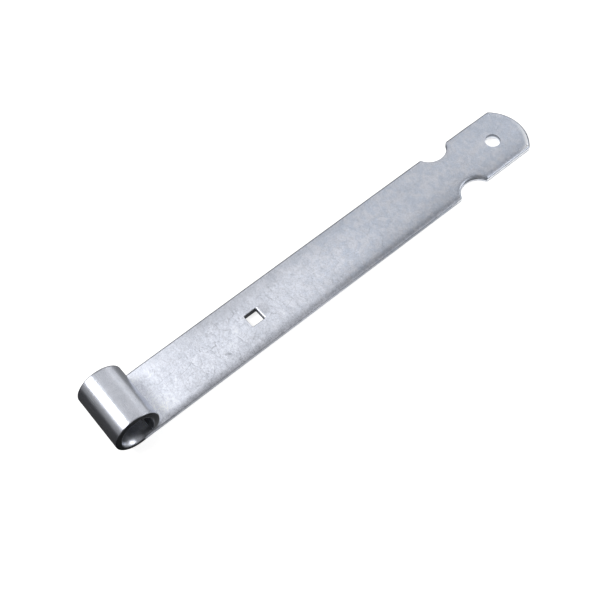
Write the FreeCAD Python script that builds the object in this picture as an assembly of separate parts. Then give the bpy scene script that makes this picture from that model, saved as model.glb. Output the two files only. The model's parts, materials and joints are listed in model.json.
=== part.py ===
import FreeCAD, Part
import math
import os

# The band of a hook and band hinge: one flat steel bar, rolled at one end into an eye for the hook's pin.
# The origin is the middle of the eye's axis. +X runs from the eye to the tip, +Y lies along the pin,
# +Z is up, and the strap's flat back faces down. All sizes are in millimetres.

# Bar stock
bar_width = 35.0
bar_thickness = 4.0
face_edge_radius = 1.3      # soft upper edges, all round the outline
back_edge_radius = 0.8      # upper limit of the rounding along the back
face_rounding_share = 0.4   # of the thickness, the most that an upper edge may take
back_rounding_share = 0.25  # of the thickness, the most that a back edge may take

# Eye
pin_diameter = 18.0
pin_play = 0.5              # bore diameter less pin diameter
roll_gap = 0.3              # between the roll's free edge and the strap's face
free_edge_rounding = 0.4    # round the sheared end of the roll

# Strap
overall_length = 300.0      # from the eye's outside to the tip
tip_radius = 23.5
tip_corner_on_face = 0.7    # radius of a tip corner where the flat face ends

# Pair of round notches
notch_radius = 10.5
notch_depth = 6.8
notch_mouth_on_face = 0.7   # radius of a notch's mouth where the flat face ends
tip_to_notch = 52.0

# Square hole for a carriage bolt
bolt_neck = 8.0
neck_clearance = 0.2
axis_to_bolt = 87.0
square_corner_radius = 0.5

# Round hole for a screw
screw_diameter = 8.0
screw_clearance = 1.0
tip_to_screw = 20.7

# The punch draws the face down a little round each hole
punch_rounding = 0.4

# Sizes that follow
half_width = bar_width / 2
bore_radius = (pin_diameter + pin_play) / 2
outer_radius = bore_radius + bar_thickness
face_height = -bore_radius
back_height = -outer_radius
tip_x = overall_length - outer_radius
notch_x = tip_x - tip_to_notch
screw_x = tip_x - tip_to_screw
face_rounding = min(face_edge_radius, face_rounding_share * bar_thickness)
back_rounding = min(back_edge_radius, back_rounding_share * bar_thickness)
tip_corner_radius = tip_corner_on_face + face_rounding
notch_mouth_radius = notch_mouth_on_face + face_rounding
tolerance = 1e-6


def point(x, y):
    """A point of the outline, drawn on the plane of the strap's back."""
    return FreeCAD.Vector(x, y, back_height)


def line(start, end):
    return Part.LineSegment(start, end).toShape()


def arc(start, middle, end):
    return Part.Arc(start, middle, end).toShape()


def towards(centre, other, distance):
    """The point at a distance from centre, on the way to another point."""
    way = other - centre
    return centre + way * (distance / way.Length)


def arc_about(centre, start, end, radius):
    """The shorter arc of a circle between two of its points."""
    return arc(start, towards(centre, (start + end) / 2, radius), end)


def notch_edges(side):
    """Edges of one notch with its rounded mouth, from the eye's side to the tip's, and their two ends."""
    edge_y = side * half_width
    centre = point(notch_x, edge_y + side * (notch_radius - notch_depth))
    mouth_y = edge_y - side * notch_mouth_radius
    reach = notch_radius + notch_mouth_radius
    offset = math.sqrt(reach ** 2 - (centre.y - mouth_y) ** 2)
    near_mouth = point(notch_x - offset, mouth_y)
    far_mouth = point(notch_x + offset, mouth_y)
    near_start = point(near_mouth.x, edge_y)
    near_end = towards(centre, near_mouth, notch_radius)
    far_start = towards(centre, far_mouth, notch_radius)
    far_end = point(far_mouth.x, edge_y)
    bottom = point(notch_x, edge_y - side * notch_depth)
    edges = [
        arc_about(near_mouth, near_start, near_end, notch_mouth_radius),
        arc(near_end, bottom, far_start),
        arc_about(far_mouth, far_start, far_end, notch_mouth_radius),
    ]
    return edges, near_start, far_end


def tip_corner(side):
    """The rounded corner between a long edge and the tip's arc, with its ends on each."""
    tip_centre = point(tip_x - tip_radius, 0)
    corner_y = side * (half_width - tip_corner_radius)
    offset = math.sqrt((tip_radius - tip_corner_radius) ** 2 - corner_y ** 2)
    centre = point(tip_centre.x + offset, corner_y)
    start = point(centre.x, side * half_width)
    end = towards(tip_centre, centre, tip_radius)
    return arc_about(centre, start, end, tip_corner_radius), start, end


def outline():
    """The strap's outline, from the line under the eye's axis to the tip and back."""
    edges = []
    corners = []
    for side in (-1, 1):
        notch, notch_start, notch_end = notch_edges(side)
        corner, corner_start, corner_end = tip_corner(side)
        root = point(0, side * half_width)
        edges += [line(root, notch_start), *notch, line(notch_end, corner_start), corner]
        corners.append((root, corner_end))
    (low_root, low_end), (high_root, high_end) = corners
    edges.append(arc(low_end, point(tip_x, 0), high_end))
    edges.append(line(high_root, low_root))
    return Part.Wire(Part.__sortEdges__(edges))


def lies_at(edge, height):
    """Whether an edge lies in the plane of a face of the strap, clear of the joint with the eye."""
    box = edge.BoundBox
    in_plane = abs(box.ZMin - height) < tolerance and abs(box.ZMax - height) < tolerance
    return in_plane and box.XMax > tolerance


def strap_blank():
    """The flat of the bar with its outline cut and its edges softened."""
    blank = Part.Face(outline()).extrude(FreeCAD.Vector(0, 0, bar_thickness))
    face_edges = [edge for edge in blank.Edges if lies_at(edge, face_height)]
    blank = blank.makeFillet(face_rounding, face_edges)
    back_edges = [edge for edge in blank.Edges if lies_at(edge, back_height)]
    return blank.makeFillet(back_rounding, back_edges)


def eye_roll(blank):
    """The bar's own section, carried round the pin until its free edge all but meets the strap."""
    section = [face for face in blank.Faces if face.BoundBox.XMax < tolerance][0]
    below_level = math.asin((bore_radius - roll_gap) / outer_radius)
    turn = 270 + math.degrees(below_level)
    roll = section.revolve(FreeCAD.Vector(0, 0, 0), FreeCAD.Vector(0, 1, 0), turn)
    sheared = FreeCAD.Vector(math.cos(below_level), 0, -math.sin(below_level))
    end_centre = sheared * ((bore_radius + outer_radius) / 2)
    end_face = min(roll.Faces, key=lambda face: face.CenterOfMass.distanceToPoint(end_centre))
    return roll.makeFillet(free_edge_rounding, end_face.Edges)


def square_punch():
    """The bolt's square hole, right through the strap."""
    side = bolt_neck + neck_clearance
    corner = FreeCAD.Vector(axis_to_bolt - side / 2, -side / 2, back_height - bar_thickness)
    punch = Part.makeBox(side, side, 3 * bar_thickness, corner)
    upright = [edge for edge in punch.Edges if edge.BoundBox.ZLength > bar_thickness]
    return punch.makeFillet(square_corner_radius, upright)


def round_punch():
    """The screw's round hole, right through the strap."""
    foot = FreeCAD.Vector(screw_x, 0, back_height - bar_thickness)
    return Part.makeCylinder((screw_diameter + screw_clearance) / 2, 3 * bar_thickness, foot)


def punched(strap, punch):
    """The strap with one hole in it, the rim on its face rounded."""
    strap = strap.cut(punch)
    reach = punch.BoundBox
    reach.enlarge(tolerance)
    rim = [edge for edge in strap.Edges if lies_at(edge, face_height) and reach.isInside(edge.CenterOfMass)]
    return strap.makeFillet(punch_rounding, rim)


def hinge_band():
    blank = strap_blank()
    strap = punched(punched(blank, square_punch()), round_punch())
    return strap.fuse(eye_roll(blank))


os.makedirs("parts", exist_ok=True)
band = hinge_band().Solids[0]
band.exportStep("parts/hinge_band.step")
box = band.optimalBoundingBox(False, False)
print("valid", band.isValid(), "volume", round(band.Volume, 1), "faces", len(band.Faces))
print("size", round(box.XLength, 3), round(box.YLength, 3), round(box.ZLength, 3))
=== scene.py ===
import json
import math

import bmesh
import bpy
import numpy as np
from mathutils import Euler, Matrix, Vector


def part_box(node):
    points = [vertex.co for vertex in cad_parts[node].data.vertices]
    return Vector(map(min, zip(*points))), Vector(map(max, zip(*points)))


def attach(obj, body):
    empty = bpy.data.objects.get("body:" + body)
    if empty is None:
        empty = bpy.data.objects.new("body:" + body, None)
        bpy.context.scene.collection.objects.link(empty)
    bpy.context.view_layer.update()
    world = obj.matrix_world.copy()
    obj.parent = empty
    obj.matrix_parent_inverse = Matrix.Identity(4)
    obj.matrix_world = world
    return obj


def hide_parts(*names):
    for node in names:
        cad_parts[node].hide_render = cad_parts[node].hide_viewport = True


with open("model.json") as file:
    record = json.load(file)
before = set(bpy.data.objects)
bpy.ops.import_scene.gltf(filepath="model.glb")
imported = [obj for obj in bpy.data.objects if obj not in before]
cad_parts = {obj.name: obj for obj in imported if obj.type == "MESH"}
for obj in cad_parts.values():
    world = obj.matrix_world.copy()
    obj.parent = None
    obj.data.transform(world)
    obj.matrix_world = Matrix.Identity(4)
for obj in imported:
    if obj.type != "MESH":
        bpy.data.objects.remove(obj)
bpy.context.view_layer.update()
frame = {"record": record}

# Hinge band: a galvanised flat bar rolled into a pin eye at one end.
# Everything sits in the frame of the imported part: metres, origin on the pin axis, X along the bar,
# Y along the pin, Z up. A place on the bar is (u, y, w) in millimetres: along it from under the pin,
# less than 0 on the roll, across it, and up from its back.

mm = 0.001

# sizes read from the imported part
mounts = {mount["name"]: mount for mount in frame["record"]["mounts"]}
bandLow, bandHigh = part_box("hinge_band")
rollOuter = -bandLow.z / mm
boreRadius = mounts["eye_bore"]["dims"]["r_mm"]
thickness = rollOuter - boreRadius
halfWidth = bandHigh.y / mm
tipX = bandHigh.x / mm
squareX = mounts["square_hole"]["pos_m"][0] / mm
roundX = mounts["tip_hole"]["pos_m"][0] / mm
roundRadius = mounts["tip_hole"]["dims"]["r_mm"]
midRadius = (rollOuter + boreRadius) / 2

# shape of the band, in millimetres; a pair is where a change starts and where it ends
band = {
    "rollGap": 0.15,                 # free edge of the roll above the strap
    "freeEdgeRounding": 0.35,
    "pinchReach": 8.0,               # the last of the roll thins and leans, so that it closes on the strap
    "pinchThin": 0.5,
    "pinchLean": 0.9,
    "faceReach": 5.4,                # how far in from the outline the near edge starts to turn over
    "faceDrop": 1.5,                 # how far it falls there
    "footReach": 3.7,                # by the eye it is tighter
    "footToFace": (40.0, 110.0),     # and it widens over this stretch, measured from the pin
    "tipReach": 3.3,                 # beyond the notches it is tight again
    "tipDrop": 1.3,
    "tipStart": (75.0, 60.0),        # measured back from the tip
    "notchShare": 0.5,               # of that reach, in the near notch
    "notchFade": (9.0, 14.0),        # to each side of the notch's middle
    "farReach": 0.5,                 # the opposite edge and the end of the tip are crisp
    "farDrop": 0.35,
    "farFade": (-4.0, 4.0),          # across the bar
    "endTurn": (-72.0, -20.0),       # degrees round the arc of the tip
    "endStart": (24.0, 18.0),        # measured back from the tip
    "crownReach": 10.0,              # the face falls away very slightly this far in
    "crownDrop": 0.3,
    "farCrownLoss": 0.8,
    "tipCrownReach": 3.5,
    "tipCrownDrop": 0.3,
    "eyeMouthReach": 7.0,            # at the foot of the eye the edge is rounded most
    "eyeMouthDrop": 2.8,
    "eyeMouthStart": (-20.0, -9.0),  # measured from the pin, less than 0 on the roll
    "eyeMouthEnd": (-3.0, 5.0),
    "strapStart": (8.0, 20.0),
    "boreRounding": 1.0,             # where the edge runs round the bore
    "backRounding": 0.45,
    "mouthRadius": 1.5,
    "notchRadius": 10.5,
    "notchDepth": 6.8,
    "tipToNotch": 52.0,
    "tipRadius": 23.5,
    "tipCorner": 1.1,
    "squareSide": 8.2,
    "squareCorner": 0.5,
    "rimRounding": 0.3,              # of the square hole
    "brightRim": 1.0,                # on its side towards the tip
    "lowRim": 0.6,                   # and on its near side
    "roundRim": 0.25,
    "backRim": 0.12,
    "waveHeight": 0.05,              # the bar isn't dead flat
    "waveFade": (0.5, 6.0),          # in from the outline
}

# how finely the surface is divided
cells = {
    "roll": 150,
    "edge": 4,
    "middle": 36,
    "block": 22,
    "column": 0.85,
    "mouth": 8,
    "notch": 36,
    "corner": 8,
    "freeEdge": 5,
    "edgeStep": 0.6,
}

# lines of points: in from the outline over each rounded edge in millimetres, then down the sides as shares
stripIn = 1.3
faceRows = (stripIn, 1.0, 0.75, 0.52, 0.32, 0.17, 0.06, 0.0)
backRows = (stripIn, 0.8, 0.55, 0.33, 0.16, 0.05, 0.0)
wallShares = np.array((0.0, 0.08, 0.35, 0.58, 0.70, 0.82, 1.0))
# the same round a hole: over its rim, out to its block, and down its side
rimSteps = (0.0, 0.05, 0.18, 0.4, 0.68, 1.0)
blockSteps = (0.08, 0.2, 0.36, 0.56, 0.78, 1.0)
holeShares = np.array((0.0, 0.1, 0.35, 0.6, 0.9, 1.0))


def arcPoints(centreX, centreY, radius, fromDeg, toDeg, steps, inward):
    # points on an arc with their inward normals; inward is -1 for a bulge and 1 for a bite
    rows = []
    for k in range(steps + 1):
        a = math.radians(fromDeg + (toDeg - fromDeg) * k / steps)
        c, s = math.cos(a), math.sin(a)
        rows.append((centreX + radius * c, centreY + radius * s, inward * c, inward * s))
    return rows


def straightPoints(start, end, steps=None):
    # points of the lower long edge, in columns unless the steps are given
    steps = steps or max(1, round((end - start) / cells["column"]))
    return [(start + (end - start) * k / steps, -halfWidth, 0.0, 1.0) for k in range(steps + 1)]


def lowerOutline():
    # the lower long edge from the roll's free edge to the middle of the tip corner
    turn = math.pi * 1.5 + math.asin((boreRadius - band["rollGap"]) / rollOuter)
    rollEnd = -midRadius * turn + band["freeEdgeRounding"]
    block = cells["block"] * pitch / 2
    notchX = tipX - band["tipToNotch"]
    notchY = -halfWidth - band["notchRadius"] + band["notchDepth"]
    mouthY = -halfWidth + band["mouthRadius"]
    reach = band["notchRadius"] + band["mouthRadius"]
    lift = math.degrees(math.asin((mouthY - notchY) / reach))
    offset = reach * math.cos(math.radians(lift))
    tipCentre = tipX - band["tipRadius"]
    cornerY = -halfWidth + band["tipCorner"]
    cornerX = tipCentre + math.sqrt((band["tipRadius"] - band["tipCorner"]) ** 2 - cornerY ** 2)
    cornerTurn = math.degrees(math.atan2(cornerY, cornerX - tipCentre))
    points = straightPoints(rollEnd, 0.0, cells["roll"])
    points += straightPoints(0.0, squareX - block)[1:]
    points += straightPoints(squareX - block, squareX + block, cells["block"])[1:]
    points += straightPoints(squareX + block, notchX - offset)[1:]
    points += arcPoints(notchX - offset, mouthY, band["mouthRadius"], -90, -lift, cells["mouth"], -1)[1:]
    points += arcPoints(notchX, notchY, band["notchRadius"], 180 - lift, lift, cells["notch"], 1)[1:]
    points += arcPoints(notchX + offset, mouthY, band["mouthRadius"], lift - 180, -90, cells["mouth"], -1)[1:]
    points += straightPoints(notchX + offset, roundX - block)[1:]
    points += straightPoints(roundX - block, roundX + block, cells["block"])[1:]
    patchStart = len(points) - 1
    points += straightPoints(roundX + block, cornerX, cells["edge"])[1:]
    corner = arcPoints(cornerX, cornerY, band["tipCorner"], -90, cornerTurn, cells["corner"], -1)
    half = cells["corner"] // 2
    points += corner[1:half + 1]
    tip = corner[half:]
    tip += arcPoints(tipCentre, 0.0, band["tipRadius"], cornerTurn, -cornerTurn, cells["middle"], -1)[1:]
    upper = [(x, -y, nx, -ny) for x, y, nx, ny in reversed(corner[half:-1])]
    return np.array(points), np.array(tip + upper), patchStart


pitch = 2 * (halfWidth - stripIn - cells["edge"] * cells["edgeStep"]) / cells["middle"]
lower, tipLine, patchStart = lowerOutline()
upper = lower * np.array([1, -1, 1, -1])
outline = np.concatenate([lower, tipLine[1:], upper[::-1][1:]])[:, :2]
rowY = [-halfWidth + stripIn + cells["edgeStep"] * k for k in range(cells["edge"])]
rowY += [pitch * (k - cells["middle"] / 2) for k in range(cells["middle"] + 1)]
rowY += [halfWidth - stripIn - cells["edgeStep"] * k for k in reversed(range(cells["edge"]))]
rowShare = (np.array(rowY) - rowY[0]) / (rowY[-1] - rowY[0])


def smooth(value, start, end):
    t = np.clip((value - start) / (end - start), 0, 1)
    return t * t * (3 - 2 * t)


def edgeDistance(spots):
    # distance from places on the bar to its outline
    flat = spots.reshape(-1, 2)
    nearest = np.full(len(flat), 1e9)
    for start, end in zip(outline[:-1], outline[1:]):
        way = end - start
        t = np.clip((flat - start) @ way / (way @ way), 0, 1)
        nearest = np.minimum(nearest, np.linalg.norm(flat - start - t[:, None] * way, axis=1))
    return nearest.reshape(spots.shape[:-1])


def blend(first, second, share):
    return first + (second - first) * share


def beforeTip(u, start, end):
    # rises from 0 to 1 between two distances back from the tip
    return smooth(u, tipX - start, tipX - end)


def tipTurn(u, y):
    # angle round the centre of the tip's arc, in degrees, 0 along the bar
    return np.degrees(np.arctan2(y, u - tipX + band["tipRadius"]))


def offNotch(u):
    # distance along the bar from the middle of the notches
    return abs(u - tipX + band["tipToNotch"])


def ellipseFall(distance, reach, drop):
    share = np.clip(1 - distance / reach, 0, 1)
    return drop * (1 - np.sqrt(1 - share ** 2))


def crownFall(distance, reach, drop):
    return drop * np.clip(1 - distance / reach, 0, 1) ** 2


def ripple(u, y):
    # slow waves over the face, between 0 and 1
    crossed = np.sin(u * 0.33 + y * 0.11 + 0.8) * np.sin(y * 0.24 - u * 0.07 + 0.4)
    return 0.5 + 0.25 * (crossed + np.sin(u * 0.13 - y * 0.19))


# dullness and painted light of the bar's sides and rims: 1 is dull dark cut steel with painted shade, 0 is
# like the face, below 0 is a painted highlight
dullAndPaintedLight = {
    "farSide": 1.0,
    "nearSide": 1.0,                 # by the eye
    # how much brighter it gets, from and to in millimetres along the bar, down to a painted highlight towards
    # the tip
    "nearSideSteps": ((0.32, -7.0, 0.0), (0.18, 15.0, 50.0), (0.15, 80.0, 130.0), (1.2, 196.0, 240.0)),
    "nearNotch": 0.55,
    "nearNotchTipLoss": 1.15,        # less, down to a painted highlight, where the notch faces the tip
    "nearNotchTipFade": (-0.1, 0.6),
    "nearNotchEyeLoss": 0.15,        # and a little less where it faces the eye
    "nearNotchEyeFade": (0.5, 0.9),
    "farNotch": 0.3,
    "tipSide": 0.85,
    "tipSideLength": 20.0,
    "straightFacing": (0.8, 0.99),   # what counts as the straight edge: facing sideways, near the outline
    "straightWithin": (2.0, 0.3),
    "upperShare": 0.4,               # the upper part of the side in the near notch has more painted shade
    "upperGain": 1.8,
    "lowerHighlight": -0.5,             # and the rest has a painted highlight
    "shadeLine": 0.7,                    # painted shade line along the sides with a painted highlight
    "shadeLineAt": 0.76,
    "shadeLineHalf": 0.08,
    "narrowRim": (0.0, 0.45),        # how far the dullness and painted shade of the sides reach in over the face
    "wideRim": (0.35, 0.95),         # and on the far side and round the tip
    "wideRimLength": 12.0,
    "mouthShade": 0.9,               # painted shade in the mouth at the foot of the eye
    "mouthShadeStart": (-1.5, 2.5),
    "mouthShadeEnd": (9.0, 15.0),
    "mouthShadeIn": (2.5, 4.5),
    "tipPaintedHighlight": 0.8,                 # painted highlight on the rim of the tip, most at its near corner
    "tipPaintedHighlightStart": (19.0, 6.0),
    "tipPaintedHighlightTurn": (-35.0, 45.0),
    "tipPaintedHighlightOuter": (0.5, 1.1),
    "tipPaintedHighlightInner": (1.3, 4.2),
    "squareRim": 0.75,               # painted shade on the square hole's rim, all but towards the tip
    "squareRimNear": 0.9,            # and more of it on the near side
    "squareRimFade": (0.3, 0.9),
    "squareHole": (1.5,) * 6,        # painted shade down the hole's side
    "roundRim": 0.75,
    "roundRimWay": (0.9, 0.45),      # the way that its half with painted shade faces
    "roundRimFade": (-0.3, 0.3),
    # the round hole's side: painted shade on its upper part, a painted highlight lower down
    "roundHole": (0.7, 0.7, 0.6, -0.7, -1.1, -1.1),
    "rimFades": (1.0, 1.0, 0.8, 0.5, 0.25),    # out over the rim
}


def wallShade(u, y, outX, outY):
    # dullness and painted light of the bar's sides along the outline
    near = dullAndPaintedLight["nearSide"]
    for loss, start, end in dullAndPaintedLight["nearSideSteps"]:
        near = near - loss * smooth(u, start, end)
    side = np.where(y < 0, near, dullAndPaintedLight["farSide"])
    nearNotch = dullAndPaintedLight["nearNotch"] - dullAndPaintedLight["nearNotchTipLoss"] * smooth(outX, *dullAndPaintedLight["nearNotchTipFade"])
    nearNotch = nearNotch - dullAndPaintedLight["nearNotchEyeLoss"] * smooth(-outX, *dullAndPaintedLight["nearNotchEyeFade"])
    notch = np.where(y < 0, nearNotch, dullAndPaintedLight["farNotch"])
    notch = np.where(u > tipX - dullAndPaintedLight["tipSideLength"], dullAndPaintedLight["tipSide"], notch)
    outer, inner = dullAndPaintedLight["straightWithin"]
    straight = smooth(abs(outY), *dullAndPaintedLight["straightFacing"])
    straight = straight * smooth(abs(y), halfWidth - outer, halfWidth - inner)
    return blend(notch, side, straight)


def sideDullAndPaintedLight(line, shade):
    # the same over the height of the sides
    nearNotch = ((offNotch(line[:, 0]) < band["notchFade"][1]) & (line[:, 1] < 0))[:, None]
    lowPart = np.minimum(shade, dullAndPaintedLight["lowerHighlight"])
    inNotch = np.where(wallShares < dullAndPaintedLight["upperShare"], dullAndPaintedLight["upperGain"] * shade, lowPart)
    shadeLine = abs(wallShares - dullAndPaintedLight["shadeLineAt"]) < dullAndPaintedLight["shadeLineHalf"]
    return np.where(shadeLine & (shade < 0), dullAndPaintedLight["shadeLine"], np.where(nearNotch, inNotch, shade))


def rimDullAndPaintedShade(line, shade, distance):
    # and on the rounded edges beside them
    wide = ((line[:, 1] > 0) | (line[:, 0] > tipX - dullAndPaintedLight["wideRimLength"]))[:, None]
    start, end = [np.where(wide, *pair) for pair in zip(dullAndPaintedLight["wideRim"], dullAndPaintedLight["narrowRim"])]
    return (1 - smooth(distance, start, end)) * np.maximum(shade, 0)


def facePaintedLight(u, y, distance):
    # on the face there is painted shade in the mouth by the eye and a painted highlight on the rim round the
    # tip
    scale = dullAndPaintedLight["mouthShade"] * smooth(u, *dullAndPaintedLight["mouthShadeStart"])
    scale = scale * (1 - smooth(u, *dullAndPaintedLight["mouthShadeEnd"]))
    scale = scale * (1 - smooth(distance, *dullAndPaintedLight["mouthShadeIn"]))
    ring = smooth(distance, *dullAndPaintedLight["tipPaintedHighlightOuter"]) * (1 - smooth(distance, *dullAndPaintedLight["tipPaintedHighlightInner"]))
    highlight = dullAndPaintedLight["tipPaintedHighlight"] * beforeTip(u, *dullAndPaintedLight["tipPaintedHighlightStart"])
    return scale, highlight * smooth(-tipTurn(u, y), *dullAndPaintedLight["tipPaintedHighlightTurn"]) * ring


def surfaceHeight(side, u, y, distance):
    # height over the back of the bar, for the face or for the back
    if side == "back":
        return ellipseFall(distance, band["backRounding"], band["backRounding"])
    foot = smooth(u, *band["eyeMouthStart"]) * (1 - smooth(u, *band["eyeMouthEnd"]))
    strap = smooth(u, *band["strapStart"])
    tip = beforeTip(u, *band["tipStart"])
    end = smooth(tipTurn(u, y), *band["endTurn"]) * beforeTip(u, *band["endStart"])
    far = np.maximum(smooth(y, *band["farFade"]), end)
    nearReach = blend(band["footReach"], band["faceReach"], smooth(u, *band["footToFace"]))
    nearReach = blend(nearReach, band["tipReach"], tip)
    nearReach = nearReach * blend(1, band["notchShare"], 1 - smooth(offNotch(u), *band["notchFade"]))
    nearDrop = blend(band["faceDrop"], band["tipDrop"], tip)
    reach = blend(band["boreRounding"], band["eyeMouthReach"], foot)
    drop = blend(band["boreRounding"], band["eyeMouthDrop"], foot)
    reach = blend(reach, blend(nearReach, band["farReach"], far), strap)
    drop = blend(drop, blend(nearDrop, band["farDrop"], far), strap)
    dip = band["waveHeight"] * ripple(u, y) * smooth(distance, *band["waveFade"]) * strap
    crown = crownFall(distance, band["crownReach"], band["crownDrop"]) * strap
    crown = crown * (1 - band["farCrownLoss"] * far)
    crown = crown + crownFall(distance, band["tipCrownReach"], band["tipCrownDrop"]) * end
    return thickness - ellipseFall(distance, reach, drop) - crown - dip


sheets = []


def addSheet(u, y, w, wall, edge, hole=None):
    parts = [np.broadcast_to(part, u.shape) for part in (u, y, w, wall, edge)]
    sheets.append((np.stack(parts, axis=-1), hole))


def addStrips(line):
    # rounded face edge, side and rounded back edge along one stretch of the outline
    strips = []
    for side, rows in (("face", faceRows), ("back", backRows[::-1])):
        d = np.array(rows)[None, :]
        u = line[:, None, 0] + d * line[:, None, 2]
        y = line[:, None, 1] + d * line[:, None, 3]
        strips.append((u, y, surfaceHeight(side, u, y, np.broadcast_to(d, u.shape)), d))
    top, bottom = strips[0][2][:, -1:], strips[1][2][:, :1]
    w = blend(top, bottom, wallShares[None, :])
    u = np.broadcast_to(line[:, None, 0], w.shape)
    y = np.broadcast_to(line[:, None, 1], w.shape)
    shade = wallShade(line[:, 0], line[:, 1], -line[:, 2], -line[:, 3])[:, None]
    addSheet(u, y, w, sideDullAndPaintedLight(line, shade), 0.0)
    for side, (u, y, w, d) in zip(("face", "back"), strips):
        # the sides' dullness and painted shade reach over the rims; on the face come painted shade in the
        # eye's mouth and a painted highlight round the tip
        wall = rimDullAndPaintedShade(line, shade, d)
        if side == "face":
            scale, highlight = facePaintedLight(u, y, d)
            wall = np.maximum(wall, scale) - highlight
        addSheet(u, y, w, wall, d)


def addFace(side, u, y, distance, hole=None):
    wall = 0.0
    # painted shade in the eye's mouth and a painted highlight round the tip
    if side == "face":
        scale, highlight = facePaintedLight(u, y, distance)
        wall = scale - highlight
    addSheet(u, y, surfaceHeight(side, u, y, distance), wall, distance, hole)


def boundary(line):
    return line[:, :2] + stripIn * line[:, 2:]


def addInterior(side):
    # the flat of the bar between the strips, as far as the round hole's block
    low = boundary(lower[:patchStart + 1])
    u = np.broadcast_to(low[:, None, 0], (len(low), len(rowY)))
    y = low[:, None, 1] * (1 - 2 * rowShare[None, :])
    distance = edgeDistance(np.stack([u, y], axis=-1))
    distance[:, [0, -1]] = stripIn
    firstRow = cells["edge"] + (cells["middle"] - cells["block"]) // 2
    rows = (firstRow, firstRow + cells["block"])
    start = int(np.argmin(abs(low[:, 0] - (squareX - cells["block"] * pitch / 2))))
    holes = [(start, start + cells["block"], *rows), (patchStart - cells["block"], patchStart, *rows)]
    addFace(side, u, y, distance, holes)


def addTip(side):
    # Coons patch from the end of the round hole's block to the tip
    low = boundary(lower[patchStart:])
    right = boundary(tipLine)
    left = np.stack([np.full(len(rowY), low[0, 0]), np.array(rowY)], axis=-1)
    high = low * np.array([1, -1])
    s = np.linspace(0, 1, len(low))[:, None, None]
    t = rowShare[None, :, None]
    ruled = (1 - t) * low[:, None] + t * high[:, None] + (1 - s) * left[None] + s * right[None]
    corners = (1 - s) * ((1 - t) * low[0] + t * high[0]) + s * ((1 - t) * low[-1] + t * high[-1])
    spots = ruled - corners
    distance = edgeDistance(spots)
    distance[:, [0, -1]] = stripIn
    distance[-1] = stripIn
    addFace(side, spots[..., 0], spots[..., 1], distance)


def squareOutline():
    # square hole as places and outward normals, starting at the middle of a corner
    half, radius = band["squareSide"] / 2, band["squareCorner"]
    inner = half - radius
    steps = cells["block"] - 4
    side = arcPoints(inner, -inner, radius, -45, 0, 2, 1)
    side += [(half, -inner + 2 * inner * k / steps, 1.0, 0.0) for k in range(1, steps)]
    side += arcPoints(inner, inner, radius, 0, 45, 2, 1)[:-1]
    rows = []
    for quarter in range(4):
        turned = math.radians(90 * quarter)
        c, s = math.cos(turned), math.sin(turned)
        rows += [(c * x - s * y, s * x + c * y, c * nx - s * ny, s * nx + c * ny) for x, y, nx, ny in side]
    return np.array(rows + rows[:1])


def roundOutline():
    count = 4 * cells["block"]
    angles = np.radians(-45 + 360 * np.arange(count + 1) / count)
    c, s = np.cos(angles), np.sin(angles)
    return np.stack([roundRadius * c, roundRadius * s, c, s], axis=-1)


def blockOutline():
    # the square patch of the face that holds a hole
    half = cells["block"] * pitch / 2
    rows = []
    for c, s in ((1, 0), (0, 1), (-1, 0), (0, -1)):
        for k in range(cells["block"]):
            x, y = half, -half + pitch * k
            rows.append((c * x - s * y, s * x + c * y))
    return np.array(rows + rows[:1])


def addHole(centreX, outlinePoints, faceRim, rimDullAndShade, holeSideDullAndPaintedLight):
    # rings from the hole to its block on both faces, and the wall between them
    block = blockOutline()
    edge, normal = outlinePoints[:, :2], outlinePoints[:, 2:]
    tops = []
    for side, rim in (("face", faceRim), ("back", np.full(len(edge), band["backRim"]))):
        rings = [edge + step * rim[:, None] * normal for step in rimSteps]
        falls = [rim * (1 - math.sqrt(1 - (1 - step) ** 2)) for step in rimSteps]
        lip = rings[-1]
        rings += [lip * (1 - share) + block * share for share in blockSteps]
        falls += [0 * rim for share in blockSteps]
        spots = np.array(rings) + np.array([centreX, 0])
        distance = edgeDistance(spots)
        w = surfaceHeight(side, spots[..., 0], spots[..., 1], distance)
        w = w + np.array(falls) * (-1 if side == "face" else 1)
        wall = np.zeros(w.shape)
        fades = np.array(dullAndPaintedLight["rimFades"])[:, None]
        wall[:len(fades)] = np.minimum(rimDullAndShade * fades, 1.0)
        addSheet(spots[..., 0], spots[..., 1], w, wall, distance)
        tops.append((spots[0], w[0]))
    (spots, high), (_, deep) = tops
    w = high[None] * (1 - holeShares[:, None]) + deep[None] * holeShares[:, None]
    u = np.broadcast_to(spots[None, :, 0], w.shape)
    y = np.broadcast_to(spots[None, :, 1], w.shape)
    addSheet(u, y, w, np.array(holeSideDullAndPaintedLight)[:, None], halfWidth)


def sectionLoop():
    # the bar's section at the roll's free edge, as a closed loop of (y, height)
    u = lower[0, 0]
    d = np.array(faceRows)
    face = np.stack([-halfWidth + d, surfaceHeight("face", np.full(len(d), u), 0 * d, d)], axis=-1)[::-1]
    d = np.array(backRows)
    back = np.stack([-halfWidth + d, surfaceHeight("back", np.full(len(d), u), 0 * d, d)], axis=-1)
    wall = face[0] * (1 - wallShares[:, None]) + back[-1] * wallShares[:, None]
    inner = np.array(rowY)[1:-1]
    faceFlat = np.stack([inner, np.full(len(inner), thickness)], axis=-1)
    backFlat = np.stack([inner, np.zeros(len(inner))], axis=-1)
    mirror = np.array([-1, 1])
    loop = [face, faceFlat, face[::-1] * mirror, (wall * mirror)[1:-1], back[::-1] * mirror, backFlat[::-1]]
    loop += [back, wall[::-1][1:-1]]
    return np.concatenate(loop)


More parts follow.
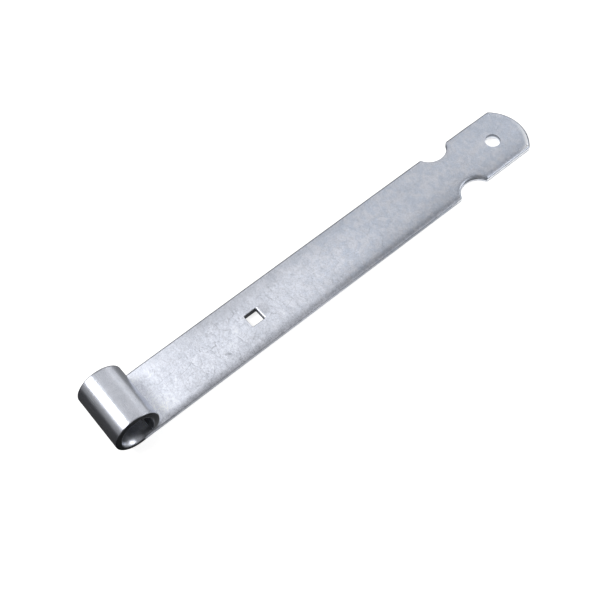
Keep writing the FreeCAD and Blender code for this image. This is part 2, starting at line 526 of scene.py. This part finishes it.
def addFreeEnd():
    # the cut end of the bar: a small rounding, then the flat, whose loop is returned
    loop = sectionLoop()
    way = np.roll(loop, -1, axis=0) - np.roll(loop, 1, axis=0)
    way = way / np.linalg.norm(way, axis=1)[:, None]
    inward = np.stack([way[:, 1], -way[:, 0]], axis=-1)
    radius = band["freeEdgeRounding"]
    rings = []
    for k in range(cells["freeEdge"] + 1):
        a = math.radians(90 * k / cells["freeEdge"])
        inset = loop + inward * radius * (1 - math.cos(a))
        u = np.full(len(loop), lower[0, 0] - radius * math.sin(a))
        dullAndShade = np.full(len(loop), min(1, k / 3))
        rings.append(np.concatenate([u[:, None], inset, dullAndShade[:, None], 0 * dullAndShade[:, None]], axis=1))
    rings = np.array(rings)
    closed = np.concatenate([rings, rings[:, :1]], axis=1)
    sheets.append((closed, None))
    return rings[-1]


def placed(spots):
    # from places on the bar to the frame: the strap is flat, the rest goes round the pin
    u, y, w = spots[:, 0], spots[:, 1], spots[:, 2]
    end = lower[0, 0] - band["freeEdgeRounding"]
    pinch = smooth(-u, -end - band["pinchReach"], -end)
    w = w * (1 - band["pinchThin"] * pinch)
    u = u - w * band["pinchLean"] * pinch
    angle = -np.minimum(u, 0) / midRadius
    radius = rollOuter - w
    x = np.where(u >= 0, u, -radius * np.sin(angle))
    z = np.where(u >= 0, -radius, -radius * np.cos(angle))
    return np.stack([x, y, z], axis=-1) * mm


def buildBand():
    print("band: laying out the surface")
    for line in (lower, upper, tipLine):
        addStrips(line)
    for side in ("face", "back"):
        addInterior(side)
        addTip(side)
    # the square rim is wide and bright towards the tip, narrower and with painted shade elsewhere, most on
    # the near side
    square = squareOutline()
    tipSide = smooth(square[:, 2], *dullAndPaintedLight["squareRimFade"])
    lowSide = smooth(-square[:, 3], *dullAndPaintedLight["squareRimFade"])
    rim = blend(band["rimRounding"], band["brightRim"], tipSide)
    rim = blend(rim, band["lowRim"], lowSide)
    dullAndShade = dullAndPaintedLight["squareRim"] * (1 - tipSide) + dullAndPaintedLight["squareRimNear"] * lowSide
    addHole(squareX, square, rim, dullAndShade, dullAndPaintedLight["squareHole"])
    # the round one has painted shade except towards the eye
    ring = roundOutline()
    rim = np.full(len(ring), band["roundRim"])
    facing = dullAndPaintedLight["roundRimWay"][0] * ring[:, 2] + dullAndPaintedLight["roundRimWay"][1] * ring[:, 3]
    dullAndShade = dullAndPaintedLight["roundRim"] * smooth(facing, *dullAndPaintedLight["roundRimFade"])
    addHole(roundX, ring, rim, dullAndShade, dullAndPaintedLight["roundHole"])
    cap = addFreeEnd()
    spots, faces = [], []
    for sheet, holes in sheets:
        first = sum(len(part) for part in spots)
        rows, columns = sheet.shape[:2]
        spots.append(sheet.reshape(-1, 5))
        for i in range(rows - 1):
            for j in range(columns - 1):
                if holes and any(a <= i < b and c <= j < d for a, b, c, d in holes):
                    continue
                at = first + i * columns + j
                faces.append((at, at + 1, at + columns + 1, at + columns))
    first = sum(len(part) for part in spots)
    spots.append(cap)
    faces.append(tuple(range(first, first + len(cap))))
    spots = np.concatenate(spots)
    mesh = bpy.data.meshes.new("hingeBand")
    mesh.from_pydata(placed(spots).tolist(), [], faces)
    place = mesh.attributes.new("barPlace", "FLOAT_VECTOR", "POINT")
    place.data.foreach_set("vector", spots[:, :3].astype(np.float32).ravel())
    for name, column in (("barDullAndPaintedLight", 3), ("barEdge", 4)):
        values = mesh.attributes.new(name, "FLOAT", "POINT")
        values.data.foreach_set("value", spots[:, column].astype(np.float32))
    work = bmesh.new()
    work.from_mesh(mesh)
    bmesh.ops.remove_doubles(work, verts=work.verts, dist=0.004 * mm)
    bmesh.ops.recalc_face_normals(work, faces=work.faces)
    bmesh.ops.triangulate(work, faces=[face for face in work.faces if len(face.verts) > 4])
    for face in work.faces:
        face.smooth = True
    loose = [edge for edge in work.edges if not edge.is_manifold]
    print("band:", len(work.verts), "points,", len(work.faces), "faces,", len(loose), "open edges")
    work.to_mesh(mesh)
    work.free()
    piece = bpy.data.objects.new("hingeBandSurface", mesh)
    bpy.context.scene.collection.objects.link(piece)
    return piece


bandPiece = buildBand()
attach(bandPiece, "root")
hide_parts("hinge_band")

# materials
print("materials: galvanised zinc")
zinc = {
    "blueZinc": (0.560, 0.605, 0.695, 1),    # the patches move between these two
    "pinkZinc": (0.618, 0.637, 0.697, 1),
    "cutSteelAndShade": (0.122, 0.127, 0.141, 1),    # the dull sides, with painted shade
    "paintedHighlightZinc": (0.93, 0.94, 0.96, 1),     # painted highlight on the bright ones
    "paintedHighlightShare": 0.85,
    # the bore's zinc is darker than the face's: painted shade inside the eye
    "boreColor": (0.395, 0.405, 0.425, 1),
    "strapRoughness": 0.47,
    "eyeRoughness": 0.29,
    "boreRoughness": 0.36,
    "streakRoughness": 0.10,
    "dullRoughness": 0.15,
    "reliefDepth": 0.06 * mm,
    # how strongly each pattern shows, and how fine it is along, across and through the bar
    "patchDepth": 0.36,
    "patchScale": (0.25, 0.19, 0.2),
    "spotDepth": 0.50,
    "spotScale": (1.0, 0.72, 0.9),
    "grainDepth": 0.52,
    "grainScale": 2.2,
    "webDepth": 0.12,
    "webScale": (0.42, 0.28, 0.4),
    "webWidth": 0.035,
    "tintScale": 0.22,
    "veinDepth": 0.26,
    "veinWarp": 4.0,
    "veinWarpScale": 0.13,
    "cloudDepth": 0.2,
    "cloudScale": (0.022, 0.05, 0.05),
    "streakScale": (1.6, 0.06, 0.5),
    # a run gives two distances from the pin along the bar in millimetres, and the values at them
    "eyeRun": (-3.0, 6.0, 0.67, 1.0),            # the eye against the strap
    "lengthRun": (94.0, 208.0, 1.24, 0.957),     # painted light: brighter by the eye than by the tip
    # painted light on the strap at the foot of the eye
    "footRun": (20.0, 38.0, 1.10, 0.98),
    "middleRun": (82.0, 106.0, 1.0, 1.045),
    "smoothRun": (-2.0, 7.0, 0.0, 1.0),          # the eye is smoother than the strap
    "mottleRun": (90.0, 215.0, 1.0, 0.38),       # weak on the tip
    "mottleEyeRun": (-3.0, 10.0, 0.25, 1.0),     # and on the eye
    "mottlePeak": 62.0,
    "mottlePeakFade": (12.0, 32.0, 1.3, 1.0),    # away from the peak
    "mottleFarFade": (13.0, 20.0, 1.0, 0.4),     # across the bar
    "wander": 10.0,                              # how far the fades across the bar wander
    "wanderScale": 0.12,
    "boreFade": (0.8, 1.6, 0.0, 1.0),            # through the bar, from its back to its face
    # painted shade along the far edge and the near one
    "farSideShadeStart": (40.0, 60.0, 0.0, 1.0),
    "farSideShadeEnd": (150.0, 185.0, 1.0, 0.0),
    "farSideShadeFade": (6.0, 22.0, 0.0, 0.18),
    "nearSideShadeStart": (22.0, 40.0, 0.0, 0.09),
    "nearSideShadeMore": (118.0, 145.0, 0.0, 0.07),
    "nearSideShadeFade": (-16.0, -3.0, 1.0, 0.0),
    # painted shade along the near edge, wider and darker towards the tip
    "edgeShadeWidth": (50.0, 150.0, 1.8, 4.4),
    "edgeShadeNarrows": (205.0, 228.0, 1.0, 0.6),
    "edgeShadeDepth": (110.0, 170.0, 0.30, 0.40),
    "edgeShadeStart": (8.0, 22.0, 0.0, 1.0),
    "edgeShadeWeakens": (210.0, 230.0, 1.0, 0.65),
    "edgeShadeFade": (-9.0, -3.0, 1.0, 0.0),
    # faint marks of the press across the bar, from the pin
    "pressLines": (27.5, 45.2, 104.4, 110.0),
    "pressDepth": 0.09,
    "pressFade": (0.1, 0.7, 1.0, 0.0),
    "pressWander": 1.2,
    "pressWanderScale": (0.05, 0.25, 0.1),
    "pressBreakScale": (0.02, 0.16, 0.1),
    # painted shade of a dent beyond the square hole
    "dentShadePast": 7.5,
    "dentShadeAside": 1.0,
    "dentShadeFade": (4.5, 8.5, 0.80, 1.0),
    "dentShadeWander": 6.0,
    "dentShadeScale": 0.35,
    "edgeSpeckleFade": (0.0, 5.5, 0.17, 0.0),          # in from the outline
    "edgeSpeckleScale": 1.3,
    "holeSideShade": (1.0, 1.5, 1.0, 0.4),        # painted shade: the sides of the square hole are the darkest
    # hardly any colour in the patches by the eye, more towards the tip
    "tintSwing": (85.0, 170.0, 0.25, 1.3),
    "tintRun": (100.0, 175.0, 0.86, 0.5),
    "tintTipLoss": (245.0, 275.0, 0.0, 0.3),
}


def feed(tree, value, socket):
    # a number is written on the socket, an output is linked to it
    if isinstance(value, bpy.types.NodeSocket):
        tree.links.new(value, socket)
    else:
        socket.default_value = value


def calc(tree, operation, *values):
    node = tree.nodes.new("ShaderNodeMath")
    node.operation = operation
    for value, socket in zip(values, node.inputs):
        feed(tree, value, socket)
    return node.outputs["Value"]


def vectorCalc(tree, operation, *values):
    node = tree.nodes.new("ShaderNodeVectorMath")
    node.operation = operation
    for value, socket in zip(values, node.inputs):
        feed(tree, value, socket)
    return node.outputs["Value" if operation == "DISTANCE" else "Vector"]


def spread(tree, value, low, high, toLow, toHigh):
    node = tree.nodes.new("ShaderNodeMapRange")
    node.interpolation_type = "SMOOTHSTEP"
    feed(tree, value, node.inputs["Value"])
    node.inputs["From Min"].default_value = low
    node.inputs["From Max"].default_value = high
    node.inputs["To Min"].default_value = toLow
    node.inputs["To Max"].default_value = toHigh
    return node.outputs["Result"]


def noise(tree, place, scale, detail=2.0, roughness=0.5, distortion=0.0, output="Fac"):
    # scale is a number or three numbers for along, across and through the bar
    if isinstance(scale, tuple):
        place, scale = vectorCalc(tree, "MULTIPLY", place, scale), 1.0
    node = tree.nodes.new("ShaderNodeTexNoise")
    feed(tree, place, node.inputs["Vector"])
    node.inputs["Scale"].default_value = scale
    node.inputs["Detail"].default_value = detail
    node.inputs["Roughness"].default_value = roughness
    node.inputs["Distortion"].default_value = distortion
    return node.outputs[output]


def product(tree, first, *factors):
    for factor in factors:
        first = calc(tree, "MULTIPLY", first, factor)
    return first


def lessened(tree, tone, share):
    return calc(tree, "MULTIPLY", tone, calc(tree, "SUBTRACT", 1.0, share))


def aroundHalf(tree, pattern, depth, base):
    # a pattern between 0 and 1 added to the base, so that its mean changes nothing
    return calc(tree, "MULTIPLY_ADD", calc(tree, "SUBTRACT", pattern, 0.5), depth, base)


def mixed(tree, factor, first, second, kind="MIX"):
    node = tree.nodes.new("ShaderNodeMix")
    node.data_type = "RGBA"
    node.blend_type = kind
    feed(tree, factor, node.inputs["Factor"])
    feed(tree, first, node.inputs["A"])
    feed(tree, second, node.inputs["B"])
    return node.outputs["Result"]


def toned(tree, color, tone):
    grey = tree.nodes.new("ShaderNodeCombineColor")
    for channel in ("Red", "Green", "Blue"):
        feed(tree, tone, grey.inputs[channel])
    return mixed(tree, 1.0, color, grey.outputs["Color"], "MULTIPLY")


def newGroup(name, inputs, outputs):
    group = bpy.data.node_groups.new(name, "ShaderNodeTree")
    for label, kind in inputs:
        group.interface.new_socket(label, in_out="INPUT", socket_type=kind)
    for label, kind in outputs:
        group.interface.new_socket(label, in_out="OUTPUT", socket_type=kind)
    return group, group.nodes.new("NodeGroupInput").outputs, group.nodes.new("NodeGroupOutput").inputs


def mottleGroup():
    # patches, spots and grain of the zinc coat
    inputs = [("Place", "NodeSocketVector"), ("Amount", "NodeSocketFloat")]
    outputs = [("Tone", "NodeSocketFloat"), ("Tint", "NodeSocketFloat"), ("Height", "NodeSocketFloat")]
    group, given, result = newGroup("zincMottle", inputs, outputs)
    place, amount = given["Place"], given["Amount"]
    patches = noise(group, place, zinc["patchScale"], 3.0, 0.55, 0.7)
    spots = noise(group, place, zinc["spotScale"], 3.0, 0.55, 0.2)
    grain = noise(group, place, zinc["grainScale"], 1.0)
    web = noise(group, place, zinc["webScale"], 3.0, 0.6, 0.8)
    web = calc(group, "ABSOLUTE", calc(group, "SUBTRACT", web, 0.5))
    tone = calc(group, "MULTIPLY", calc(group, "SUBTRACT", spots, 0.5), zinc["spotDepth"])
    web = spread(group, web, 0.0, zinc["webWidth"], -zinc["webDepth"], zinc["webDepth"] / 4)
    tone = calc(group, "ADD", tone, web)
    tone = calc(group, "MULTIPLY_ADD", tone, amount, 1.0)
    # the patches fade less than the rest
    depth = calc(group, "MULTIPLY_ADD", amount, zinc["patchDepth"] * 0.3, zinc["patchDepth"] * 0.7)
    tone = aroundHalf(group, patches, depth, tone)
    tone = aroundHalf(group, grain, zinc["grainDepth"], tone)
    # dark patches are bluer than bright ones
    tint = calc(group, "MULTIPLY_ADD", noise(group, place, zinc["tintScale"], 3.0, 0.6, 0.5), 0.5, 0.25)
    tint = aroundHalf(group, patches, 0.6, tint)
    height = calc(group, "MULTIPLY", calc(group, "ADD", spots, patches), amount)
    feed(group, tone, result["Tone"])
    feed(group, spread(group, tint, 0.32, 0.68, 0.0, 1.0), result["Tint"])
    feed(group, height, result["Height"])
    return group


def veinLines(group, place, size, stretch, width, breakStart):
    # thin cracks between warped cells, broken into short lengths
    push = noise(group, place, zinc["veinWarpScale"], 3.0, output="Color")
    warped = vectorCalc(group, "MULTIPLY_ADD", push, (zinc["veinWarp"], zinc["veinWarp"], 0.0), place)
    cracks = group.nodes.new("ShaderNodeTexVoronoi")
    cracks.feature = "DISTANCE_TO_EDGE"
    cracks.inputs["Scale"].default_value = size
    feed(group, vectorCalc(group, "MULTIPLY", warped, stretch), cracks.inputs["Vector"])
    line = spread(group, cracks.outputs["Distance"], 0.0, width, 1.0, 0.0)
    breaks = noise(group, place, (0.21 + size, 0.15, 0.2))
    return product(group, line, spread(group, breaks, breakStart, breakStart + 0.12, 0.0, 1.0))


def veinsGroup():
    # long dark veins, most of them across the bar, and finer ones between them
    inputs = [("Place", "NodeSocketVector"), ("Amount", "NodeSocketFloat")]
    group, given, result = newGroup("zincVeins", inputs, [("Mask", "NodeSocketFloat")])
    long = veinLines(group, given["Place"], 0.13, (1.0, 0.34, 1.0), 0.012, 0.38)
    fine = veinLines(group, given["Place"], 0.22, (0.9, 0.8, 1.0), 0.016, 0.46)
    feed(group, product(group, calc(group, "MAXIMUM", fine, long), given["Amount"]), result["Mask"])
    return group


mottle = mottleGroup()
veins = veinsGroup()


def useGroup(tree, group, **inputs):
    node = tree.nodes.new("ShaderNodeGroup")
    node.node_tree = group
    for label, value in inputs.items():
        feed(tree, value, node.inputs[label])
    return node.outputs


def attribute(tree, name, output):
    node = tree.nodes.new("ShaderNodeAttribute")
    node.attribute_name = name
    return node.outputs[output]


def newMaterial(name):
    material = bpy.data.materials.new(name)
    material.use_nodes = True
    shader = material.node_tree.nodes["Principled BSDF"]
    shader.inputs["Metallic"].default_value = 1.0
    return material, material.node_tree, shader


def relief(tree, height, distance):
    node = tree.nodes.new("ShaderNodeBump")
    node.inputs["Strength"].default_value = 1.0
    node.inputs["Distance"].default_value = distance
    feed(tree, height, node.inputs["Height"])
    return node.outputs["Normal"]


def mottleAmount(tree, along, wander):
    # strong on the first half of the strap, weak on the eye, the tip and the far edge
    offPeak = calc(tree, "ABSOLUTE", calc(tree, "SUBTRACT", along, zinc["mottlePeak"]))
    amount = spread(tree, along, *zinc["mottleRun"])
    amount = product(tree, amount, spread(tree, offPeak, *zinc["mottlePeakFade"]))
    amount = product(tree, amount, spread(tree, along, *zinc["mottleEyeRun"]))
    return product(tree, amount, spread(tree, wander, *zinc["mottleFarFade"]))


def toneAlong(tree, place, along):
    # slow clouds, and painted light: the bar gets darker from the foot of the eye to the tip
    clouds = noise(tree, place, zinc["cloudScale"])
    tone = calc(tree, "MULTIPLY_ADD", clouds, zinc["cloudDepth"], 1 - zinc["cloudDepth"] / 2)
    for run in ("lengthRun", "footRun", "middleRun", "eyeRun"):
        tone = product(tree, tone, spread(tree, along, *zinc[run]))
    return tone


def paintedSideShade(tree, tone, along, across, wander):
    # painted shade towards the far edge up to the middle of the strap, and a little towards the near edge
    far = product(tree, spread(tree, along, *zinc["farSideShadeStart"]), spread(tree, along, *zinc["farSideShadeEnd"]))
    far = product(tree, far, spread(tree, wander, *zinc["farSideShadeFade"]))
    near = spread(tree, along, *zinc["nearSideShadeStart"])
    near = calc(tree, "ADD", near, spread(tree, along, *zinc["nearSideShadeMore"]))
    near = product(tree, near, spread(tree, across, *zinc["nearSideShadeFade"]))
    return product(tree, tone, calc(tree, "SUBTRACT", calc(tree, "SUBTRACT", 1.0, far), near))


def nearEdgeShade(tree, along, across, edge):
    # how dark the painted shade along the near edge is
    width = product(tree, spread(tree, along, *zinc["edgeShadeWidth"]), spread(tree, along, *zinc["edgeShadeNarrows"]))
    dark = spread(tree, calc(tree, "DIVIDE", edge, width), 0.0, 1.0, 1.0, 0.0)
    for run in ("edgeShadeDepth", "edgeShadeWeakens", "edgeShadeStart"):
        dark = product(tree, dark, spread(tree, along, *zinc[run]))
    dark = product(tree, dark, spread(tree, across, *zinc["edgeShadeFade"]))
    return product(tree, dark, calc(tree, "GREATER_THAN", edge, 0.0))


def pressMarks(tree, tone, place, along):
    # straight marks that wander a little and come and go
    patchy = spread(tree, noise(tree, place, zinc["pressBreakScale"]), 0.35, 0.6, 0.0, zinc["pressDepth"])
    centred = calc(tree, "SUBTRACT", along, zinc["pressWander"] / 2)
    bend = noise(tree, place, zinc["pressWanderScale"])
    wavy = calc(tree, "MULTIPLY_ADD", bend, zinc["pressWander"], centred)
    for line in zinc["pressLines"]:
        off = calc(tree, "ABSOLUTE", calc(tree, "SUBTRACT", wavy, line))
        tone = lessened(tree, tone, product(tree, spread(tree, off, *zinc["pressFade"]), patchy))
    return tone


def dentShade(tree, place):
    # painted shade of a dent beyond the square hole
    middle = (squareX + zinc["dentShadePast"], zinc["dentShadeAside"], thickness)
    away = vectorCalc(tree, "DISTANCE", place, middle)
    away = calc(tree, "MULTIPLY_ADD", noise(tree, place, zinc["dentShadeScale"]), zinc["dentShadeWander"], away)
    return spread(tree, away, *zinc["dentShadeFade"])


def edgeSpeckle(tree, place, edge):
    # darker speckles along the edges
    speckle = spread(tree, noise(tree, place, zinc["edgeSpeckleScale"], 3.0, 0.6), 0.42, 0.6, 0.0, 1.0)
    return product(tree, spread(tree, edge, *zinc["edgeSpeckleFade"]), speckle)


def zincColor(tree, patchTint, along):
    tint = product(tree, calc(tree, "SUBTRACT", patchTint, 0.5), spread(tree, along, *zinc["tintSwing"]))
    tint = calc(tree, "ADD", tint, spread(tree, along, *zinc["tintRun"]))
    tint = calc(tree, "SUBTRACT", tint, spread(tree, along, *zinc["tintTipLoss"]))
    return mixed(tree, tint, zinc["blueZinc"], zinc["pinkZinc"])


def faceMaterial():
    # everything but the bore
    material, tree, shader = newMaterial("zincFace")
    place = attribute(tree, "barPlace", "Vector")
    wall = attribute(tree, "barDullAndPaintedLight", "Fac")
    edge = attribute(tree, "barEdge", "Fac")
    split = tree.nodes.new("ShaderNodeSeparateXYZ")
    tree.links.new(place, split.inputs["Vector"])
    along, across, through = split.outputs["X"], split.outputs["Y"], split.outputs["Z"]
    wander = calc(tree, "MULTIPLY_ADD", noise(tree, place, zinc["wanderScale"]), zinc["wander"], across)
    amount = mottleAmount(tree, along, wander)
    coat = useGroup(tree, mottle, Place=place, Amount=amount)
    lines = useGroup(tree, veins, Place=place, Amount=amount)["Mask"]

    tone = product(tree, toneAlong(tree, place, along), coat["Tone"])
    tone = product(tree, tone, calc(tree, "MULTIPLY_ADD", lines, -zinc["veinDepth"], 1.0))
    # painted shade along the far and near edges
    tone = paintedSideShade(tree, tone, along, across, wander)
    tone = lessened(tree, tone, nearEdgeShade(tree, along, across, edge))
    tone = pressMarks(tree, tone, place, along)
    tone = product(tree, tone, dentShade(tree, place))
    tone = lessened(tree, tone, edgeSpeckle(tree, place, edge))
    # painted shade, darkest on the sides of the square hole
    tone = product(tree, tone, spread(tree, wall, *zinc["holeSideShade"]))

    # the dull sides are dark cut steel with painted shade
    dullAndShade = calc(tree, "MAXIMUM", wall, 0.0)
    color = mixed(tree, dullAndShade, zincColor(tree, coat["Tint"], along), zinc["cutSteelAndShade"])
    # below 0 the sides and rims take a painted highlight
    paintedHighlight = spread(tree, wall, -1.0, 0.0, zinc["paintedHighlightShare"], 0.0)
    color = mixed(tree, paintedHighlight, toned(tree, color, tone), zinc["paintedHighlightZinc"])
    feed(tree, color, shader.inputs["Base Color"])

    # faint streaks along the pin
    streaks = noise(tree, place, zinc["streakScale"], 3.0)
    inside = spread(tree, through, *zinc["boreFade"])
    boreMore = zinc["boreRoughness"] - zinc["eyeRoughness"]
    eyeRough = calc(tree, "MULTIPLY_ADD", inside, boreMore, zinc["eyeRoughness"])
    more = calc(tree, "SUBTRACT", zinc["strapRoughness"], eyeRough)
    rough = calc(tree, "MULTIPLY_ADD", more, spread(tree, along, *zinc["smoothRun"]), eyeRough)
    rough = aroundHalf(tree, streaks, zinc["streakRoughness"], rough)
    rough = calc(tree, "MULTIPLY_ADD", dullAndShade, zinc["dullRoughness"], rough)
    feed(tree, rough, shader.inputs["Roughness"])
    height = calc(tree, "MULTIPLY_ADD", streaks, 0.25, coat["Height"])
    feed(tree, relief(tree, height, zinc["reliefDepth"]), shader.inputs["Normal"])
    return material


def boreMaterial():
    material, tree, shader = newMaterial("zincBore")
    place = attribute(tree, "barPlace", "Vector")
    coat = useGroup(tree, mottle, Place=place, Amount=0.8)
    color = mixed(tree, coat["Tint"], zinc["boreColor"], zinc["cutSteelAndShade"])
    feed(tree, toned(tree, color, coat["Tone"]), shader.inputs["Base Color"])
    rough = spread(tree, coat["Tint"], 0.0, 1.0, zinc["boreRoughness"], zinc["boreRoughness"] + 0.08)
    feed(tree, rough, shader.inputs["Roughness"])
    feed(tree, relief(tree, coat["Height"], zinc["reliefDepth"]), shader.inputs["Normal"])
    return material


bandMesh = bandPiece.data
bandMesh.materials.append(faceMaterial())
bandMesh.materials.append(boreMaterial())
boreStart = -15.0    # along the bar, where its face has turned into the bore's wall
places = np.zeros(len(bandMesh.vertices) * 3, dtype=np.float32)
bandMesh.attributes["barPlace"].data.foreach_get("vector", places)
places = places.reshape(-1, 3)
for face in bandMesh.polygons:
    u, y, w = places[list(face.vertices)].mean(axis=0)
    if u < boreStart and w > thickness - 0.05:
        face.material_index = 1

# floor
print("stage: floor, lights and camera")
floorLook = {"size": 6.0, "color": (0.50, 0.50, 0.50, 1), "lift": 0.76}
floorMesh = bpy.data.meshes.new("floor")
half = floorLook["size"] / 2
floorZ = bandLow.z
corners = [(-half, -half, floorZ), (half, -half, floorZ), (half, half, floorZ), (-half, half, floorZ)]
floorMesh.from_pydata(corners, [], [(0, 1, 2, 3)])
floor = bpy.data.objects.new("floor", floorMesh)
bpy.context.scene.collection.objects.link(floor)
floorMaterial = bpy.data.materials.new("paleFloor")
floorMaterial.use_nodes = True
floorNodes, floorLinks = floorMaterial.node_tree.nodes, floorMaterial.node_tree.links
floorShader = floorNodes["Principled BSDF"]
floorShader.inputs["Base Color"].default_value = floorLook["color"]
floorShader.inputs["Roughness"].default_value = 0.8
floorShader.inputs["Specular IOR Level"].default_value = 0.1
floorShader.inputs["Emission Color"].default_value = (1, 1, 1, 1)
lightPath = floorNodes.new("ShaderNodeLightPath")
seen = lightPath.outputs["Is Camera Ray"]
for ray in ("Is Glossy Ray", "Is Transmission Ray"):
    either = floorNodes.new("ShaderNodeMath")
    either.operation = "MAXIMUM"
    floorLinks.new(seen, either.inputs[0])
    floorLinks.new(lightPath.outputs[ray], either.inputs[1])
    seen = either.outputs["Value"]
lift = floorNodes.new("ShaderNodeMath")
lift.operation = "MULTIPLY"
lift.inputs[1].default_value = floorLook["lift"]
floorLinks.new(seen, lift.inputs[0])
floorLinks.new(lift.outputs["Value"], floorShader.inputs["Emission Strength"])
floorMesh.materials.append(floorMaterial)

# world and lamps
studio = {
    "skyColor": (1.0, 1.0, 1.0),
    "skyStrength": 0.334,
    "distance": 1.2,
}
lamps = {
    # name: direction from the eye, size across and along the pin in metres, brightness
    "keySoftbox": {"toward": (-0.459, 0.46, 0.760), "size": (0.495, 0.7), "glow": 7.3},
    "backPanel": {"toward": (0.45, 0.55, 0.70), "size": (1.5, 0.9), "glow": 0.425},
    "sidePanel": {"toward": (0.87, 0.45, 0.18), "size": (0.58, 0.7), "glow": 0.49},
    "mouthLamp": {"toward": (0.76, -0.50, 0.41), "size": (0.40, 0.55), "glow": 5.85},
    "tipPanel": {"toward": (0.93, 0.0, 0.37), "size": (0.40, 0.55), "glow": 1.42},
}
world = bpy.data.worlds.new("studio")
bpy.context.scene.world = world
world.use_nodes = True
background = world.node_tree.nodes["Background"]
background.inputs["Color"].default_value = (*studio["skyColor"], 1)
background.inputs["Strength"].default_value = studio["skyStrength"]


def areaLamp(name, toward, size, glow):
    # glow is the brightness of the lamp's face, so its power follows from its size
    data = bpy.data.lights.new(name, "AREA")
    data.shape = "RECTANGLE"
    data.size, data.size_y = size
    data.energy = 4 * size[0] * size[1] * glow
    lamp = bpy.data.objects.new(name, data)
    bpy.context.scene.collection.objects.link(lamp)
    away = Vector(toward).normalized()
    alongPin = (Vector((0, 1, 0)) - away * away.y).normalized()
    lamp.location = away * studio["distance"]
    lamp.rotation_euler = Matrix((alongPin.cross(away), alongPin, away)).transposed().to_euler()


for name, lamp in lamps.items():
    areaLamp(name, **lamp)

# dark cards round the band, seen only in the metal; corners in metres from the pin
cardHeight = 0.00005
eyeEnd, tipEnd, farSide = 0.002, 0.33, 0.09
notchStart, notchEnd = 0.225, 0.245    # the back card reaches into the far notch
cards = {
    # name: how pale, corners
    "eyeCard": (0.03, [(-0.10, -0.09), (0.022, -0.09), (0.022, -0.0215), (eyeEnd, -0.0215),
                       (eyeEnd, farSide), (-0.10, farSide)]),
    "frontCard": (0.25, [(0.022, -0.14), (tipEnd, -0.14), (tipEnd, -0.032), (0.022, -0.032)]),
    "backCard": (0.22, [(eyeEnd, 0.018), (notchStart, 0.018), (notchStart, 0.0105), (notchEnd, 0.0105),
                        (notchEnd, 0.018), (tipEnd, 0.018), (tipEnd, farSide), (eyeEnd, farSide)]),
    "farCard": (0.6, [(eyeEnd, farSide), (0.7, farSide), (0.7, 0.5), (eyeEnd, 0.5)]),
    "tipCard": (0.03, [(0.287, -0.0175), (tipEnd, -0.0175), (tipEnd, 0.018), (0.287, 0.018)]),
}


def addCard(name, tone, corners):
    material = bpy.data.materials.new(name)
    material.use_nodes = True
    shader = material.node_tree.nodes["Principled BSDF"]
    shader.inputs["Base Color"].default_value = (tone, tone, tone, 1)
    shader.inputs["Specular IOR Level"].default_value = 0.1
    mesh = bpy.data.meshes.new(name)
    mesh.from_pydata([(x, y, floorZ + z) for x, y, z in corners], [], [tuple(range(len(corners)))])
    mesh.materials.append(material)
    card = bpy.data.objects.new(name, mesh)
    bpy.context.scene.collection.objects.link(card)
    card.visible_camera = False
    card.visible_diffuse = False
    card.visible_shadow = False
    card.visible_transmission = False


for name, (tone, corners) in cards.items():
    addCard(name, tone, [(x, y, cardHeight) for x, y in corners])
# one more stands behind the eye
standing = [(-0.10, -0.12, 0.0), (-0.10, 0.20, 0.0), (-0.10, 0.20, 0.03), (-0.10, -0.12, 0.03)]
addCard("standingCard", 0.02, standing)

# camera at the photograph's viewing angle
camera = {
    "place": (-0.04304639, -0.24032261, 0.48013903),
    "turn": (29.55718879, 3.24549977, -39.51484895),
    "lens": 62.2535,
}
cameraData = bpy.data.cameras.new("camera")
cameraData.lens = camera["lens"]
cameraData.sensor_width = 36
cameraData.clip_start = 0.01
cameraObject = bpy.data.objects.new("camera", cameraData)
bpy.context.scene.collection.objects.link(cameraObject)
cameraObject.location = camera["place"]
cameraObject.rotation_euler = Euler([math.radians(angle) for angle in camera["turn"]], "XYZ")
bpy.context.scene.camera = cameraObject
bpy.context.scene.view_settings.view_transform = "Standard"
